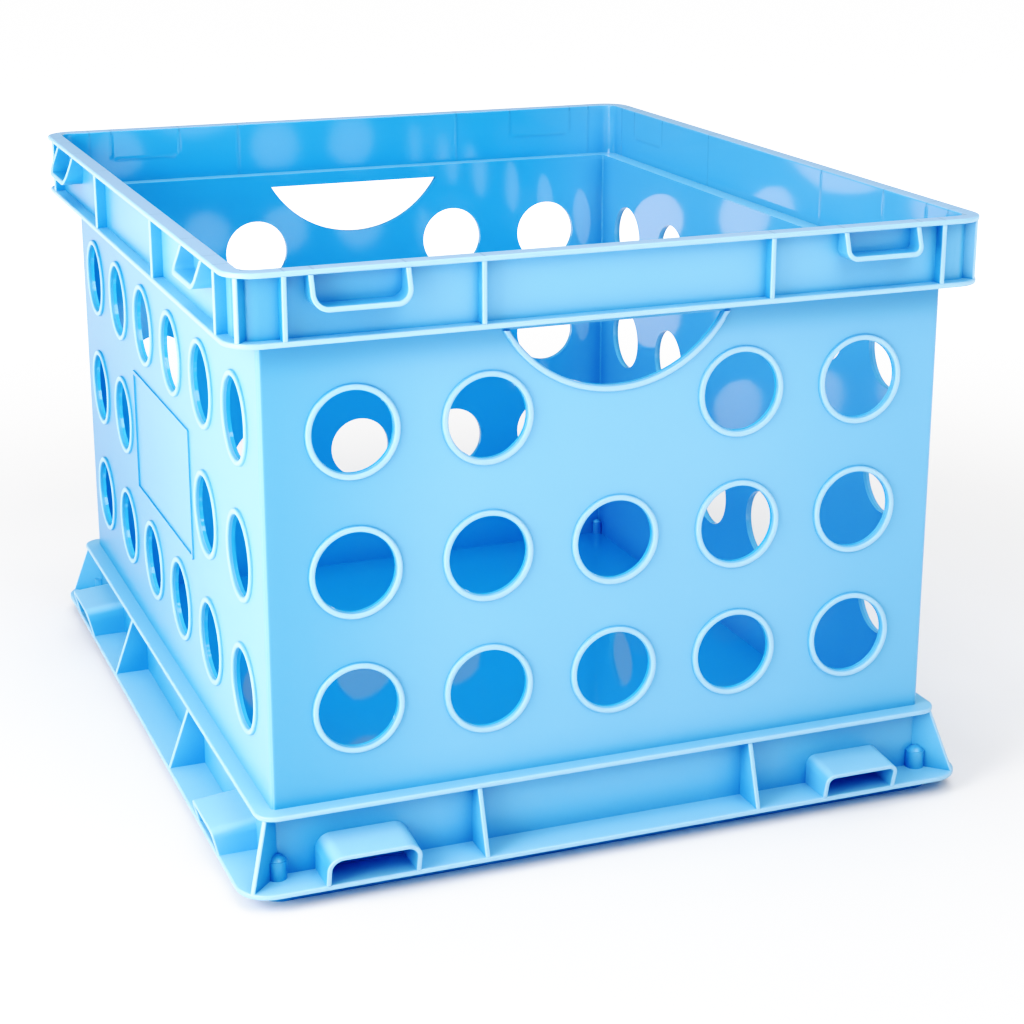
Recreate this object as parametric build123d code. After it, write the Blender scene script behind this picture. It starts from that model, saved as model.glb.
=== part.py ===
from build123d import *
import os

# Rigid stacking file crate, moulded in one shot of polypropylene.
# Millimetres, +Z up, origin on the floor under the middle of the crate.
# The moulding is built as its moulded members, which meet face to face.
# Each member of a side is drawn on the front side (outward is -Y, "along" is X)
# and turned about Z onto the other three, so the crate matches itself when it is
# turned by half a turn.

# Driving dimensions of the box
wall_width = 330.0        # outside of the left wall to outside of the right wall
wall_depth = 393.0        # outside of the front wall to outside of the back wall
crate_height = 288.0
sheet = 2.4               # wall, floor and flange thickness
web = 2.2                 # rib and interlock rib thickness
wall_corner_radius = 2.5
inner_corner_radius = 1.0

# Heights of the levels, from the floor up
plinth_height = 7.5
floor_top = plinth_height + sheet
skirt_top = 42.0
ledge_underside = 256.0
ledge_top = ledge_underside + sheet
top_flange_underside = crate_height - sheet

# How far each member stands out from the outer wall face
plinth_offset = 6.6
band_inner_offset = 7.2
band_outer_offset = band_inner_offset + sheet
rim_flange_offset = 15.5
skirt_flange_offset = 8.0
base_flange_offset = 18.5

# Corner radii of those members, seen from above
rim_flange_radius = 15.0
base_flange_radius = 16.0
skirt_flange_radius = 9.5
plinth_radius = 10.0
edge_round = 0.8          # rounded edge of every flange
rib_round = 0.7           # rounded outer edge of every rib
rib_set_back = 0.3        # how far a rib stays inside the edge of its flange

# Vent holes and hand holes
hole_radius = 18.6
hole_row_pitch = 63.8
middle_row_height = 148.8
front_hole_pitch = 61.8
side_hole_pitch = 62.6
collar_width = 2.9
collar_height = 1.5
collar_round = 1.1
hand_hole_top = 251.2
hand_hole_arc_radius = 60.0
hand_hole_depth = 29.5

# Label panel frames on the long sides
label_length = 126.0
label_height = 66.0
label_line = 2.0
label_raise = 0.9
label_corner_radius = 1.5

# Ribs
front_rim_ribs = (68.5, 156.0)
side_rim_ribs = (66.0, 187.5)
front_skirt_rib = 69.0
side_skirt_rib = 66.0

# Interlock ribs, outside sizes of the wide ones. The narrow ones are one wall and
# one sliding clearance smaller all round, so they slide inside the wide ones of
# the next crate.
interlock_width = 44.4
interlock_radius = 7.5
slide_clearance = 0.3
front_interlock_place = 123.5
side_interlock_place = 148.5
pocket_depth = 15.2
pocket_flare = 5.5
loop_height = 14.7
loop_height_at_wall = 17.0
loop_flare = 3.6

# Posts at the corners: one through each wall corner, one in each corner of the floor
post_radius = 4.5
post_height = 13.4
post_shift_across = -1.0  # from the wall corner, outwards to the side
post_shift_along = 2.0    # from the wall corner, outwards to the end
inner_post_radius = 3.0
inner_post_height = 11.0
inner_post_across = -4.8
inner_post_along = -4.8

half_width = wall_width / 2
half_depth = wall_depth / 2
reach = 60.0              # length of a cutting shape that has to pass everything
overlap = 2.0             # how far a cutting shape runs past what it cuts


def rounded_block(offset, radius, bottom, top):
    """Block with the crate's outline, offset outwards from the wall faces."""
    width = wall_width + 2 * offset
    depth = wall_depth + 2 * offset
    outline = RectangleRounded(width, depth, radius)
    return Pos(0, 0, bottom) * extrude(outline, top - bottom)


def ring(outer, outer_radius, inner, inner_radius, bottom, top, outer_edges=()):
    """Closed ring; outer_edges names the outer edges to round, 0 low and -1 high."""
    block = rounded_block(outer, outer_radius, bottom, top)
    for index in outer_edges:
        block = fillet(block.faces().sort_by(Axis.Z)[index].edges(), edge_round)
    core = rounded_block(inner, inner_radius, bottom - overlap, top + overlap)
    return block - core


def side_wedge(half_along, half_out):
    """Prism over the front side, mitred at 45 degrees through both wall corners."""
    points = [
        (-half_along - reach, -half_out - reach),
        (half_along + reach, -half_out - reach),
        (half_along - reach, -half_out + reach),
        (-half_along + reach, -half_out + reach),
    ]
    prism = extrude(make_face(Polyline(*points, close=True)), crate_height + 2 * overlap)
    return Pos(0, 0, -overlap) * prism


class Side:
    """One side of the crate: its name, its turn about Z and its two half lengths."""

    def __init__(self, name, turn, half_along, half_out):
        self.name = name
        self.turn = Rot(0, 0, turn)
        self.half_along = half_along
        self.half_out = half_out
        self.is_end = half_along == half_width

    def place(self, shape):
        """Turn a shape drawn on the front side onto this side."""
        return self.turn * shape

    def cut_from(self, whole):
        """The stretch of a closed ring that belongs to this side."""
        wedge = self.place(side_wedge(self.half_along, self.half_out))
        return whole & wedge


sides = [
    Side("front", 0, half_width, half_depth),
    Side("right", 90, half_depth, half_width),
    Side("back", 180, half_width, half_depth),
    Side("left", 270, half_depth, half_width),
]


def rib(along, face, inner, outer_low, outer_high, bottom, top):
    """Upright plate square to the side, with its outer edge rounded."""
    points = [
        (-face - inner, bottom),
        (-face - outer_low, bottom),
        (-face - outer_high, top),
        (-face - inner, top),
    ]
    profile = Plane.YZ * make_face(Polyline(*points, close=True))
    plate = Pos(along - web / 2, 0, 0) * extrude(profile, web)
    outer_face = plate.faces().sort_by(Axis.Y)[0]
    long_edges = outer_face.edges().sort_by(SortBy.LENGTH)[-2:]
    return fillet(long_edges, rib_round)


def at_corners(shape):
    """The shape, drawn pointing to -Y, turned out of each of the four corners."""
    corners = []
    for x_sign, y_sign, turn in ((-1, -1, -45), (1, -1, 45), (1, 1, 135), (-1, 1, 225)):
        place = Pos(x_sign * half_width, y_sign * half_depth, 0)
        corners.append(place * Rot(0, 0, turn) * shape)
    return corners


def channel(inset, depth_inside, depth_outside, face, inner, outer):
    """U-shaped channel open outwards, its flat side at z = 0 and its bend above."""
    solids = []
    for shrink in (inset, inset + web):
        sections = []
        for depth, offset in ((depth_inside, inner), (depth_outside, outer)):
            outline = RectangleRounded(
                interlock_width - 2 * shrink,
                2 * (depth - shrink),
                interlock_radius - shrink,
            )
            sections.append(Plane.XZ.offset(face + offset) * outline)
        solids.append(loft(sections))
    upper_half = Pos(0, -face, reach / 2) * Box(2 * reach, 2 * reach, reach)
    return (solids[0] - solids[1]) & upper_half


def flared(shape, face, inner, offset_flat, offset_bend, height):
    """Trim a channel so that its outer edge leans outwards towards the bend."""
    slope = (offset_bend - offset_flat) / height
    points = [
        (-face - inner, 0),
        (-face - offset_flat, 0),
        (-face - offset_flat - slope * reach / 2, reach / 2),
        (-face - inner, reach / 2),
    ]
    profile = Plane.YZ * make_face(Polyline(*points, close=True))
    trimmed = shape & (Pos(-reach, 0, 0) * extrude(profile, 2 * reach))
    outer_face = trimmed.faces().sort_by(Axis.Y)[0]
    bend_edges = [edge for edge in outer_face.edges() if edge.center().Z > web / 2]
    return fillet(bend_edges, rib_round)


def base_loop(side, along, inset):
    """Hooded loop on the base flange; its roof falls away from the wall."""
    outer = base_flange_offset + loop_flare + overlap
    shape = channel(inset, loop_height_at_wall, loop_height, side.half_out, 0, outer)
    shape = flared(
        shape, side.half_out, 0, base_flange_offset,
        base_flange_offset + loop_flare, loop_height,
    )
    return Pos(along, 0, floor_top) * shape


def rim_pocket(side, along, inset):
    """U-shaped interlock rib that hangs from the top flange in front of the band."""
    outer = rim_flange_offset + pocket_flare + overlap
    shape = channel(inset, pocket_depth, pocket_depth, side.half_out, band_outer_offset, outer)
    shape = flared(
        shape, side.half_out, band_outer_offset, rim_flange_offset,
        rim_flange_offset + pocket_flare, pocket_depth,
    )
    upside_down = mirror(shape, Plane.XY)
    return Pos(along, 0, top_flange_underside) * upside_down


def hole_places(side):
    """Middles of a side's round holes, as (along, height)."""
    columns = 5 if side.is_end else 6
    pitch = front_hole_pitch if side.is_end else side_hole_pitch
    places = []
    for row in (1, 0, -1):
        for column in range(columns):
            along = (column - (columns - 1) / 2) * pitch
            in_hand_hole = side.is_end and row == 1 and abs(along) < 1
            in_label = not side.is_end and row == 0 and abs(along) < pitch
            if not in_hand_hole and not in_label:
                places.append((along, middle_row_height + row * hole_row_pitch))
    return places


def hand_hole_outline(grow):
    """Half-moon with a straight top; grow widens its arc."""
    disc = Pos(0, hand_hole_top - hand_hole_depth + hand_hole_arc_radius) * Circle(
        hand_hole_arc_radius + grow
    )
    lower = Pos(0, hand_hole_top - reach / 2) * Rectangle(4 * reach, reach)
    return disc & lower


def wall(side, walls):
    """One upright wall with its vent holes, and the hand hole on an end wall."""
    panel = side.cut_from(walls)
    tools = []
    for along, height in hole_places(side):
        drill = Pos(along, -side.half_out, height) * Rot(90, 0, 0)
        tools.append(side.place(drill * Cylinder(hole_radius, 6 * sheet)))
    if side.is_end:
        outline = Plane.XZ.offset(side.half_out - 3 * sheet) * hand_hole_outline(0)
        tools.append(side.place(extrude(outline, 6 * sheet)))
    return panel - tools


def round_collar():
    """Raised round-edged ring, standing up in Z from z = 0."""
    middle = hole_radius + collar_width / 2
    section = Pos(middle, collar_height / 2) * Rectangle(collar_width, collar_height)
    top_corners = section.vertices().sort_by(Axis.Y)[-2:]
    section = fillet(top_corners, collar_round)
    return revolve(Plane.XZ * section, Axis.Z)


def hand_hole_collar(side):
    """Raised bead that follows the arc of the hand hole."""
    bead = hand_hole_outline(collar_width) - hand_hole_outline(0)
    solid = extrude(Plane.XZ.offset(side.half_out) * bead, collar_height)
    outer_face = solid.faces().sort_by(Axis.Y)[0]
    arcs = [edge for edge in outer_face.edges() if edge.geom_type == GeomType.CIRCLE]
    return fillet(arcs, collar_round)


def label_frame(side):
    """Thin raised line round the label panel."""
    outer = RectangleRounded(label_length, label_height, label_corner_radius)
    inner = Rectangle(label_length - 2 * label_line, label_height - 2 * label_line)
    outline = Pos(0, middle_row_height) * (outer - inner)
    return extrude(Plane.XZ.offset(side.half_out) * outline, label_raise)


def corner_posts(radius, height, across, along):
    """Four domed posts on the floor, shifted outwards from the wall corners."""
    straight = height - radius
    column = Pos(0, 0, floor_top + straight / 2) * Cylinder(radius, straight)
    dome = Pos(0, 0, floor_top + straight) * Sphere(radius, 0, 90)
    post = column + dome
    posts = []
    for x_sign, y_sign in ((-1, -1), (1, -1), (1, 1), (-1, 1)):
        x = x_sign * (half_width + across)
        y = y_sign * (half_depth + along)
        posts.append(Pos(x, y, 0) * post)
    return posts


def save(name, shapes):
    """Write one node; a list of shapes becomes one node of separate solids."""
    solids = []
    for shape in shapes:
        solids.extend(shape.solids())
    node = solids[0] if len(solids) == 1 else Compound(children=solids)
    node.label = name
    export_step(node, f"parts/{name}.step")


os.makedirs("parts", exist_ok=True)

# Closed rings, cut into sides below
walls_ring = ring(
    0, wall_corner_radius, -sheet, inner_corner_radius, floor_top, ledge_underside,
)
base_ring = ring(
    base_flange_offset, base_flange_radius, 0, wall_corner_radius,
    plinth_height, floor_top, (0, -1),
)
skirt_ring = ring(
    skirt_flange_offset, skirt_flange_radius, 0, wall_corner_radius,
    skirt_top - sheet, skirt_top, (0, -1),
)
ledge_ring = ring(
    rim_flange_offset, rim_flange_radius, -sheet, inner_corner_radius,
    ledge_underside, ledge_top, (0, -1),
)
band_radius = rim_flange_radius - rim_flange_offset + band_outer_offset
band_ring = ring(
    band_outer_offset, band_radius, band_inner_offset, band_radius - sheet,
    ledge_top, top_flange_underside,
)
top_ring = ring(
    rim_flange_offset, rim_flange_radius, band_inner_offset, band_radius - sheet,
    top_flange_underside, crate_height, (0, -1),
)
top_face = top_ring.faces().sort_by(Axis.Z)[-1]
top_ring = fillet(top_face.inner_wires()[0].edges(), edge_round)
plinth_ring = ring(
    plinth_offset, plinth_radius, plinth_offset - sheet, plinth_radius - sheet,
    0, plinth_height,
)

# The outer posts stand through the wall corners and the roots of the corner ribs
posts = corner_posts(post_radius, post_height, post_shift_across, post_shift_along)
inner_posts = corner_posts(
    inner_post_radius, inner_post_height, inner_post_across, inner_post_along,
)
inner_posts = [post - walls_ring - posts for post in inner_posts]
save("corner_posts", posts)
save("inner_corner_posts", inner_posts)
save("floor_panel", [rounded_block(0, wall_corner_radius, plinth_height, floor_top)])

skirt_ribs = []
label_frames = []
for side in sides:
    panel = wall(side, walls_ring) - posts
    save(f"{side.name}_wall", [panel])
    save(f"{side.name}_base_flange", [side.cut_from(base_ring)])
    save(f"{side.name}_skirt_flange", [side.cut_from(skirt_ring)])
    save(f"{side.name}_rim_ledge", [side.cut_from(ledge_ring)])
    save(f"{side.name}_rim_band", [side.cut_from(band_ring)])
    save(f"{side.name}_top_flange", [side.cut_from(top_ring)])
    save(f"{side.name}_plinth", [side.cut_from(plinth_ring)])

    collar = round_collar()
    collars = []
    for along, height in hole_places(side):
        stand = Pos(along, -side.half_out, height) * Rot(90, 0, 0)
        collars.append(side.place(stand * collar))
    if side.is_end:
        collars.append(side.place(hand_hole_collar(side)))
    else:
        label_frames.append(side.place(label_frame(side)))
    save(f"{side.name}_hole_collars", collars)

    rim_ribs = []
    for along in front_rim_ribs if side.is_end else side_rim_ribs:
        for sign in (-1, 1):
            plate = rib(
                sign * along, side.half_out, band_outer_offset,
                rim_flange_offset - rib_set_back, rim_flange_offset - rib_set_back,
                ledge_top, top_flange_underside,
            )
            rim_ribs.append(side.place(plate))
    save(f"{side.name}_rim_ribs", rim_ribs)

    along = front_skirt_rib if side.is_end else side_skirt_rib
    for sign in (-1, 1):
        plate = rib(
            sign * along, side.half_out, 0,
            base_flange_offset - rib_set_back, skirt_flange_offset - rib_set_back,
            floor_top, skirt_top - sheet,
        )
        skirt_ribs.append(side.place(plate))

    place = front_interlock_place if side.is_end else side_interlock_place
    for hand, sign, inset in (("wide", -1, 0), ("narrow", 1, web + slide_clearance)):
        loop = base_loop(side, sign * place, inset)
        save(f"{side.name}_{hand}_base_loop", [side.place(loop)])
        pocket = rim_pocket(side, sign * place, inset)
        save(f"{side.name}_{hand}_rim_pocket", [side.place(pocket)])

save("skirt_ribs", skirt_ribs)
save("label_frames", label_frames)

# Ribs that run out of the corners at 45 degrees, measured from the wall corners
diagonal = 2 ** 0.5


def corner_reach(offset, radius):
    """How far a rounded corner at this offset stands out along the diagonal."""
    return diagonal * (offset - radius) + radius


band_reach = corner_reach(band_outer_offset, band_radius)
rim_reach = corner_reach(rim_flange_offset, rim_flange_radius) - rib_set_back
rim_rib = rib(
    0, 0, band_reach - overlap, rim_reach, rim_reach, ledge_top, top_flange_underside,
)
band_block = rounded_block(band_outer_offset, band_radius, ledge_top, top_flange_underside)
save("rim_corner_ribs", [plate - band_block for plate in at_corners(rim_rib)])

skirt_rib = rib(
    0, 0, -overlap,
    corner_reach(base_flange_offset, base_flange_radius) - rib_set_back,
    corner_reach(skirt_flange_offset, skirt_flange_radius) - rib_set_back,
    floor_top, skirt_top - sheet,
)
wall_block = rounded_block(0, wall_corner_radius, 0, crate_height)
save("skirt_corner_ribs", [plate - wall_block - posts for plate in at_corners(skirt_rib)])
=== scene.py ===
import math
from types import SimpleNamespace

import bpy
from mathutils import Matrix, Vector

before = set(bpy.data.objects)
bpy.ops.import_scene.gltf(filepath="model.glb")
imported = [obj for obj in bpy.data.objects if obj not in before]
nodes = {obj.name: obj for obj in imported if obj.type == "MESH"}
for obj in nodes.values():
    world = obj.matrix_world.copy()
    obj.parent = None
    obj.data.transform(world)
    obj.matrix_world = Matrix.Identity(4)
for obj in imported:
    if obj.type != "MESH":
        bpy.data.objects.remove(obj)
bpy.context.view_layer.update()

# Faces and levels of the crate, in metres
half_width = 0.165          # outer face of the side walls
half_depth = 0.1965         # outer face of the end walls
floor_top = 0.0099
loop_top = 0.0246
skirt_underside = 0.0396
ledge_underside = 0.2560
pocket_bottom = 0.2704
rim_underside = 0.2856

# Middles of the ribs and the pockets of the rim, along (the long sides, the ends)
inner_rib_place = (0.066, 0.0685)
outer_rib_place = (0.1875, 0.156)
pocket_place = (0.1485, 0.1235)
pocket_leg_reach = 0.0200   # about where the legs of a pocket stand, from its middle
pocket_web_level = 0.2715   # middle of the web under a pocket

# Limits between faces, for the masks below
inner_wall_x = 0.1643       # inside the thickness of the side walls
inner_wall_y = 0.1958
inner_rim_x = 0.1724        # inside the thickness of the rim band
inner_rim_y = 0.2039
rim_start = 0.2583          # the rim band stands above this
top_face_start = 0.28785    # just under the top face of the rim
end_wall_start = 0.1963     # just inside the outer face of the end walls

# Colours of the plastic, and of the light and shade painted on it
outer_blue = (0.120, 0.395, 0.785, 1.0)
outer_blue_clouded = (0.140, 0.415, 0.805, 1.0)
shaded_end_blue = (0.03, 0.23, 0.56, 1.0)
under_rim_shadow_blue = (0.02, 0.20, 0.50, 1.0)
inner_shade_blue = (0.055, 0.34, 0.77, 1.0)
inner_right_lit_blue = (0.12, 0.39, 0.80, 1.0)
polished_floor_shade_blue = (0.035, 0.27, 0.66, 1.0)
corner_shade_blue = (0.012, 0.18, 0.50, 1.0)
edge_highlight_blue = (0.26, 0.53, 0.83, 1.0)
mark_blue = (0.06, 0.16, 0.32, 1.0)
rim_top_lit_blue = (0.23, 0.42, 0.70, 1.0)
flange_top_lit_blue = (0.22, 0.51, 0.83, 1.0)
white = (1.0, 1.0, 1.0, 1.0)

# How far painted shade takes the colour toward its shaded one
left_end_shade = 0.70
right_end_shade = 0.22
back_shade = 0.78
under_rim_shade = 0.55

# Surface of the plastic
outer_roughness = 0.36
plastic_ior = 1.5
polished_floor_ior = 3.2    # higher than the real plastic's, to mirror the holes clearly


# ---------------------------------------------------------------- node helpers
def new_material(name):
    """A new node material; returns it, its node tree and its Principled shader."""
    material = bpy.data.materials.new(name)
    material.use_nodes = True
    tree = material.node_tree
    return material, tree, tree.nodes["Principled BSDF"]


def add_node(tree, kind, settings=None, inputs=None):
    """A node with properties set and with inputs set or linked by name or number."""
    node = tree.nodes.new(kind)
    for key, value in (settings or {}).items():
        setattr(node, key, value)
    for key, value in (inputs or {}).items():
        if isinstance(value, bpy.types.NodeSocket):
            tree.links.new(value, node.inputs[key])
        else:
            node.inputs[key].default_value = value
    return node


def math_node(tree, operation, *values):
    """The output of a Math node over numbers or sockets."""
    inputs = dict(enumerate(values))
    return add_node(tree, "ShaderNodeMath", {"operation": operation}, inputs).outputs[0]


def multiply(tree, first, second):
    """The product of two numbers or sockets."""
    return math_node(tree, "MULTIPLY", first, second)


def above(tree, value, limit):
    """1 where value is greater than limit, else 0."""
    return math_node(tree, "GREATER_THAN", value, limit)


def below(tree, value, limit):
    """1 where value is less than limit, else 0."""
    return math_node(tree, "LESS_THAN", value, limit)


def smooth_step(tree, value, start, end):
    """0 at start and before it, 1 at end and past it, smooth between them."""
    node = add_node(
        tree, "ShaderNodeMapRange", {"interpolation_type": "SMOOTHSTEP"},
        {"Value": value, "From Min": start, "From Max": end},
    )
    return node.outputs["Result"]


def mix_colour(tree, factor, first, second):
    """The colour output of a mix of two colours."""
    inputs = {0: factor, 6: first, 7: second}
    return add_node(tree, "ShaderNodeMix", {"data_type": "RGBA"}, inputs).outputs[2]


def noise(tree, place, scale, detail):
    """The strength output of a noise texture."""
    inputs = {"Vector": place, "Scale": scale, "Detail": detail}
    return add_node(tree, "ShaderNodeTexNoise", inputs=inputs).outputs["Fac"]


# ---------------------------------------------------------------- places on the crate
def surface_point(tree):
    """Sockets that say where the shaded point lies on the crate."""
    place = add_node(tree, "ShaderNodeTexCoord").outputs["Object"]
    axes = add_node(tree, "ShaderNodeSeparateXYZ", inputs={0: place})
    x = math_node(tree, "ABSOLUTE", axes.outputs[0])
    y = math_node(tree, "ABSOLUTE", axes.outputs[1])
    past_side = math_node(tree, "SUBTRACT", x, half_width)
    past_end = math_node(tree, "SUBTRACT", y, half_depth)
    total = math_node(tree, "ADD", past_side, past_end)
    return SimpleNamespace(
        place=place,
        x=x,
        y=y,
        z=axes.outputs[2],
        signed_x=axes.outputs[0],
        signed_y=axes.outputs[1],
        is_end=above(tree, past_end, past_side),
        stand_out=math_node(tree, "MAXIMUM", past_side, past_end),
        diagonal_out=multiply(tree, total, math.sqrt(0.5)),
    )


def within(tree, point, half_x, half_y):
    """1 where the point lies inside a rectangle about the middle, else 0."""
    return multiply(tree, below(tree, point.x, half_x), below(tree, point.y, half_y))


def inner_mask(tree, point):
    """1 on the inner faces of the walls and the rim, 0 outside."""
    in_box = within(tree, point, inner_wall_x, inner_wall_y)
    in_rim = multiply(
        tree, within(tree, point, inner_rim_x, inner_rim_y), above(tree, point.z, rim_start),
    )
    return math_node(tree, "MAXIMUM", in_box, in_rim)


def flange_edge(offset, radius):
    """Depth inwards from the rounded outline of a flange, seen from above."""
    def depth(tree, point):
        past_x = math_node(tree, "SUBTRACT", point.x, half_width + offset - radius)
        past_y = math_node(tree, "SUBTRACT", point.y, half_depth + offset - radius)
        out_x = math_node(tree, "MAXIMUM", past_x, 0.0)
        out_y = math_node(tree, "MAXIMUM", past_y, 0.0)
        squares = math_node(tree, "MULTIPLY_ADD", out_x, out_x, multiply(tree, out_y, out_y))
        farther = math_node(tree, "MAXIMUM", past_x, past_y)
        straight = math_node(tree, "MINIMUM", farther, 0.0)
        past = math_node(tree, "ADD", math_node(tree, "SQRT", squares), straight)
        return math_node(tree, "SUBTRACT", radius, past)
    return depth


def leaning_edge(low, high, diagonal=False):
    """Depth inwards from a straight outer edge between two (height, offset) points.

    diagonal is for the ribs that run out of the corners at 45 degrees.
    """
    def depth(tree, point):
        inputs = {
            "Value": point.z, "From Min": low[0], "From Max": high[0],
            "To Min": low[1], "To Max": high[1],
        }
        edge = add_node(tree, "ShaderNodeMapRange", {"clamp": False}, inputs)
        out = point.diagonal_out if diagonal else point.stand_out
        return math_node(tree, "SUBTRACT", edge.outputs["Result"], out)
    return depth


def upright_edge(offset, diagonal=False):
    """Depth inwards from an upright outer edge."""
    def depth(tree, point):
        out = point.diagonal_out if diagonal else point.stand_out
        return math_node(tree, "SUBTRACT", offset, out)
    return depth


# ---------------------------------------------------------------- materials
def line_mask(tree, value, centre, spread):
    """A soft line of 1 where value is near centre; centre is a number or a socket."""
    away = math_node(tree, "ABSOLUTE", math_node(tree, "SUBTRACT", value, centre))
    return smooth_step(tree, away, spread, 0.0)


def sink_marks(tree, point, spread):
    """Faint marks opposite the ribs and the U-shaped ribs of the rim."""
    def choose(place):
        on_side, on_end = place
        return math_node(tree, "MULTIPLY_ADD", point.is_end, on_end - on_side, on_side)

    swap = add_node(tree, "ShaderNodeMix", inputs={0: point.is_end, 2: point.y, 3: point.x})
    along = swap.outputs[0]
    first_rib = line_mask(tree, along, choose(inner_rib_place), spread)
    second_rib = line_mask(tree, along, choose(outer_rib_place), spread)
    ribs = math_node(tree, "MAXIMUM", first_rib, second_rib)

    past_pocket = math_node(tree, "SUBTRACT", along, choose(pocket_place))
    from_pocket = math_node(tree, "ABSOLUTE", past_pocket)
    legs = multiply(
        tree,
        line_mask(tree, from_pocket, pocket_leg_reach, spread),
        smooth_step(tree, point.z, 0.2700, 0.2760),
    )
    bend = multiply(
        tree,
        line_mask(tree, point.z, pocket_web_level, spread),
        smooth_step(tree, from_pocket, 0.0195, 0.0150),
    )
    return math_node(tree, "MAXIMUM", ribs, math_node(tree, "MAXIMUM", legs, bend))


def end_shading(tree, point):
    """How much painted shade deepens the colour: to both ends of an end wall, to the back of a
    side.
    """
    on_end_wall = above(tree, point.y, end_wall_start)
    on_side_wall = math_node(tree, "SUBTRACT", 1.0, on_end_wall)
    toward_left = smooth_step(tree, point.signed_x, -0.06, -0.17)
    toward_right = smooth_step(tree, point.signed_x, 0.06, 0.16)
    toward_back = smooth_step(tree, point.signed_y, -0.17, 0.18)
    of_right = multiply(tree, toward_right, right_end_shade)
    of_end = math_node(tree, "MULTIPLY_ADD", toward_left, left_end_shade, of_right)
    of_side = multiply(tree, toward_back, back_shade)
    return math_node(
        tree, "MULTIPLY_ADD", of_end, on_end_wall, multiply(tree, of_side, on_side_wall),
    )


def outer_colour(tree, point, cloud):
    """Colour of the outside, with the painted shade; on the end walls also a painted shadow
    under the rim.
    """
    colour = mix_colour(tree, cloud, outer_blue, outer_blue_clouded)
    # Painted shade toward the ends of the end walls and the back of the side walls
    colour = mix_colour(tree, end_shading(tree, point), colour, shaded_end_blue)
    # Painted shadow: the end walls darken just under the rim ledge
    near_ledge = multiply(
        tree,
        smooth_step(tree, point.z, 0.236, 0.2555),
        below(tree, point.z, ledge_underside + 0.0001),
    )
    under_rim_shadow = multiply(tree, near_ledge, above(tree, point.y, end_wall_start))
    return mix_colour(tree, multiply(tree, under_rim_shadow, under_rim_shade), colour, under_rim_shadow_blue)


def blue_plastic(
    name, edge=None, corner_shade=0.0, lit_top=None, rough_inside=0.06, marks=None, mirror=False,
):
    """Sky-blue polypropylene: satin outside, glossier inside the walls.

    edge gives the depth from an outer edge, along which a pale highlight line is painted.
    corner_shade says how much painted shade deepens the colour in corners. lit_top is the
    colour painted on the upper faces as light from above. marks is the spread and the
    strength of the sink marks. mirror is for the polished floor, which shows the far walls.
    """
    material, tree, shader = new_material(name)
    point = surface_point(tree)
    inside = inner_mask(tree, point)
    cloud = noise(tree, point.place, 9.0, 3.0)
    # Painted shade: the inner faces take a deeper blue than the outside, the crate floor the
    # deepest
    inner = polished_floor_shade_blue
    if not mirror:
        # Painted light: the inner right wall takes a lighter blue, as if lit over the left rim
        toward_right = smooth_step(tree, point.signed_x, 0.10, 0.162)
        inner = mix_colour(tree, toward_right, inner_shade_blue, inner_right_lit_blue)
    colour = mix_colour(tree, inside, outer_colour(tree, point, cloud), inner)
    # Painted light from above: faces that look upward take a paler colour
    if lit_top:
        facing = add_node(tree, "ShaderNodeNewGeometry").outputs["Normal"]
        upward = add_node(tree, "ShaderNodeSeparateXYZ", inputs={0: facing}).outputs[2]
        colour = mix_colour(tree, smooth_step(tree, upward, 0.5, 0.95), colour, lit_top)
    # Painted shade: the colour deepens where ambient occlusion finds nearby surfaces, in
    # corners and recesses
    if corner_shade:
        occlusion = add_node(
            tree, "ShaderNodeAmbientOcclusion", {"samples": 6}, {"Distance": 0.018},
        )
        shaded_corner = smooth_step(tree, occlusion.outputs["AO"], 1.0, 0.35)
        colour = mix_colour(tree, multiply(tree, shaded_corner, corner_shade), colour, corner_shade_blue)
    # Painted highlight: a pale line along the outer rounded edges, where light catches them
    if edge:
        edge_highlight = smooth_step(tree, edge(tree, point), 0.0010, 0.0004)
        colour = mix_colour(tree, edge_highlight, colour, edge_highlight_blue)
    height = multiply(tree, noise(tree, point.place, 900.0, 2.0), 0.03)
    if marks:
        spread, strength = marks
        seen = math_node(tree, "MAXIMUM", inside, above(tree, point.z, top_face_start))
        lines = multiply(tree, sink_marks(tree, point, spread), seen)
        colour = mix_colour(tree, multiply(tree, lines, strength), colour, mark_blue)
        height = math_node(tree, "ADD", height, lines)
    tree.links.new(colour, shader.inputs["Base Color"])

    smoothness = {"Value": inside, "To Min": outer_roughness, "To Max": rough_inside}
    rough = add_node(tree, "ShaderNodeMapRange", inputs=smoothness).outputs["Result"]
    rough = math_node(tree, "MULTIPLY_ADD", cloud, 0.03, rough)
    tree.links.new(rough, shader.inputs["Roughness"])
    height = math_node(tree, "ADD", noise(tree, point.place, 26.0, 1.0), height)
    relief = {"Strength": 0.5, "Distance": 0.0002, "Height": height}
    bump = add_node(tree, "ShaderNodeBump", inputs=relief)
    tree.links.new(bump.outputs[0], shader.inputs["Normal"])
    shader.inputs["IOR"].default_value = polished_floor_ior if mirror else plastic_ior
    shader.inputs["Specular IOR Level"].default_value = 0.6
    return material


def floor_material():
    """Matt white studio floor that glows away from the crate, to end in plain white."""
    material, tree, shader = new_material("studio_floor")
    shader.inputs["Base Color"].default_value = (0.88, 0.87, 0.86, 1.0)
    place = add_node(tree, "ShaderNodeNewGeometry").outputs["Position"]
    away = add_node(tree, "ShaderNodeVectorMath", {"operation": "LENGTH"}, {0: place})
    glow = smooth_step(tree, away.outputs["Value"], 0.30, 1.35)
    tree.links.new(glow, shader.inputs["Emission Strength"])
    shader.inputs["Emission Color"].default_value = white
    shader.inputs["Roughness"].default_value = 0.9
    shader.inputs["Specular IOR Level"].default_value = 0.1
    return material


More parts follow.
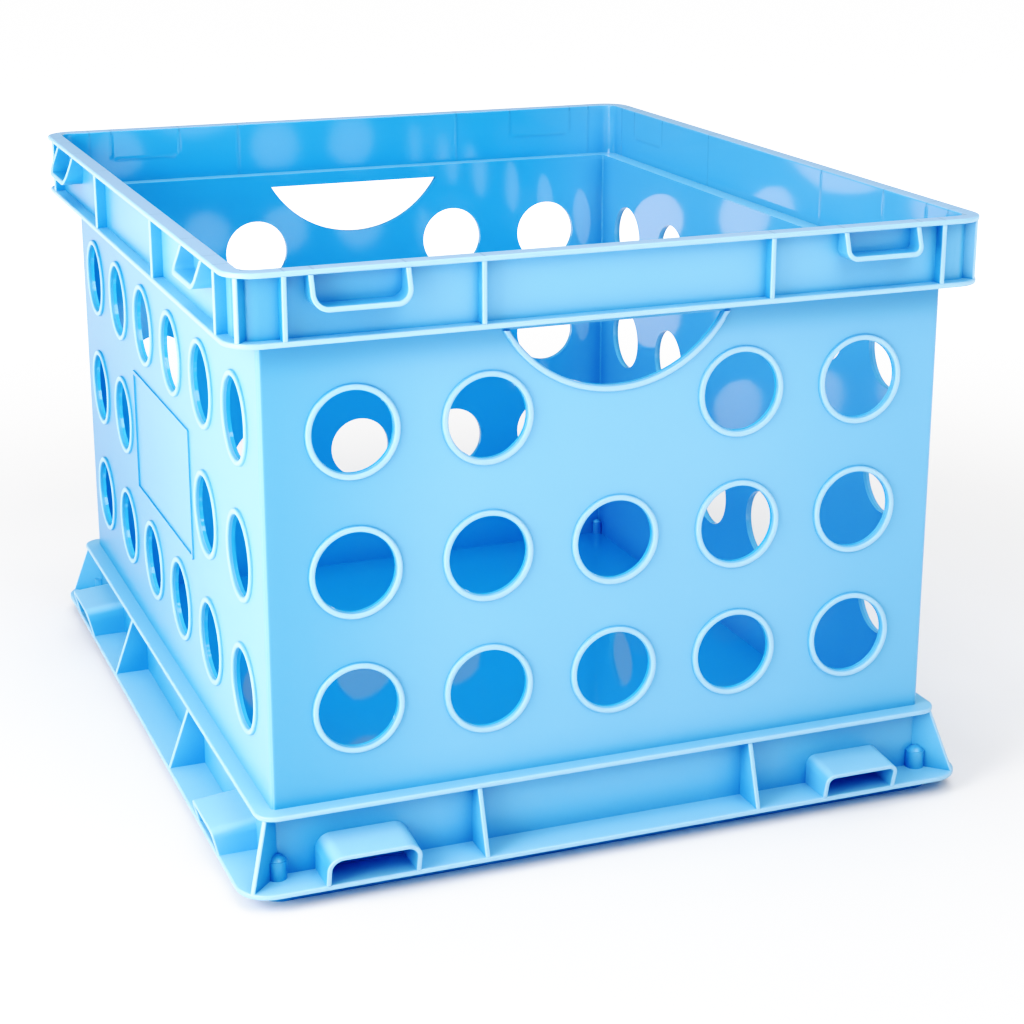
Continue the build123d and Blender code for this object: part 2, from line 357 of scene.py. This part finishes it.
rim_outline = flange_edge(0.0155, 0.015)
skirt_outline = flange_edge(0.0080, 0.0095)
base_outline = flange_edge(0.0185, 0.016)
skirt_corner_edge = leaning_edge((floor_top, 0.01924), (skirt_underside, 0.00708), True)
skirt_rib_edge = leaning_edge((floor_top, 0.0182), (skirt_underside, 0.0077))
pocket_edge = leaning_edge((pocket_bottom, 0.0210), (rim_underside, 0.0155))
loop_edge = leaning_edge((floor_top, 0.0185), (loop_top, 0.0221))

# The first ending that fits a node's name gives its material
plastics = (
    ("_wall", blue_plastic("pp_wall", corner_shade=0.5)),
    ("_rim_band", blue_plastic("pp_band", corner_shade=0.45, marks=(0.0016, 0.16))),
    ("_top_flange", blue_plastic(
        "pp_top_flange", rim_outline, lit_top=rim_top_lit_blue, marks=(0.0009, 0.45),
    )),
    ("_rim_ledge", blue_plastic("pp_ledge", rim_outline, 0.25, flange_top_lit_blue)),
    ("_skirt_flange", blue_plastic("pp_skirt", skirt_outline, 0.25, flange_top_lit_blue)),
    ("_base_flange", blue_plastic("pp_base", base_outline, 0.25, flange_top_lit_blue)),
    ("rim_corner_ribs", blue_plastic("pp_rim_corner", upright_edge(0.0154, True), 0.7)),
    ("_rim_ribs", blue_plastic("pp_rim_rib", upright_edge(0.0152), 0.7)),
    ("skirt_corner_ribs", blue_plastic("pp_skirt_corner", skirt_corner_edge, 0.6)),
    ("skirt_ribs", blue_plastic("pp_skirt_rib", skirt_rib_edge, 0.6)),
    ("_rim_pocket", blue_plastic("pp_pocket", pocket_edge, 0.3)),
    ("_base_loop", blue_plastic("pp_loop", loop_edge, 0.0, flange_top_lit_blue)),
    ("_hole_collars", blue_plastic("pp_collar", upright_edge(0.0018))),
    ("floor_panel", blue_plastic("pp_floor", rough_inside=0.03, mirror=True)),
    ("", blue_plastic("pp_plain", corner_shade=0.5)),
)
for name, piece in nodes.items():
    plastic = next(material for ending, material in plastics if name.endswith(ending))
    piece.data.materials.clear()
    piece.data.materials.append(plastic)

# ---------------------------------------------------------------- studio
bpy.ops.mesh.primitive_plane_add(size=60.0, location=(0, 0, 0))
floor = bpy.context.object
floor.name = "studio_floor"
floor.data.materials.append(floor_material())

world = bpy.data.worlds.new("studio")
bpy.context.scene.world = world
world.use_nodes = True
background = world.node_tree.nodes["Background"]
background.inputs["Color"].default_value = white
background.inputs["Strength"].default_value = 0.24


def softbox(name, place, target, size, power):
    """A square area light at place that faces target."""
    data = bpy.data.lights.new(name, "AREA")
    data.shape = "SQUARE"
    data.size = size
    data.energy = power
    lamp = bpy.data.objects.new(name, data)
    bpy.context.scene.collection.objects.link(lamp)
    lamp.location = place
    lamp.visible_camera = False
    aim = Vector(target) - Vector(place)
    lamp.rotation_euler = aim.to_track_quat("-Z", "Y").to_euler()
    return lamp


softbox("left_softbox", (-0.75, -0.38, 0.35), (-0.17, -0.12, 0.15), 0.5, 6.3)
softbox("high_left_softbox", (-1.2, -0.2, 1.1), (0.1, 0, 0.2), 0.8, 6.0)
softbox("front_softbox", (0.2, -1.0, 1.15), (0.03, -0.2, 0.15), 0.9, 9.2)
top = softbox("top_softbox", (0.0, 0.3, 2.3), (0, 0, 0.1), 1.8, 30.0)
top.visible_glossy = False     # so the polished crate floor doesn't show it

# ---------------------------------------------------------------- camera
camera_place = Vector((-0.3879, -1.0641, 0.4729))
camera_yaw = math.radians(21.25)       # to the right of +Y
camera_pitch = math.radians(16.81)     # below the horizon
aim = Vector((
    math.sin(camera_yaw) * math.cos(camera_pitch),
    math.cos(camera_yaw) * math.cos(camera_pitch),
    -math.sin(camera_pitch),
))
camera_data = bpy.data.cameras.new("camera")
camera_data.lens = 77.3
camera_data.sensor_width = 36.0
camera_data.shift_y = -0.05
camera = bpy.data.objects.new("camera", camera_data)
bpy.context.scene.collection.objects.link(camera)
camera.location = camera_place
camera.rotation_euler = aim.to_track_quat("-Z", "Y").to_euler()
bpy.context.scene.camera = camera

# ---------------------------------------------------------------- print contrast
look = bpy.context.scene.view_settings
look.view_transform = "Standard"
look.use_curve_mapping = True
tone = look.curve_mapping
tone.white_level = (1.3, 1.3, 1.3)
# (scene light over white_level, light passed on to the view transform)
tone_points = (
    (0.023, 0.006), (0.046, 0.033), (0.085, 0.105), (0.177, 0.31),
    (0.308, 0.53), (0.46, 0.70), (0.615, 0.85), (0.77, 0.95),
)
for light, passed_on in tone_points:
    tone.curves[3].points.new(light, passed_on)
tone.update()
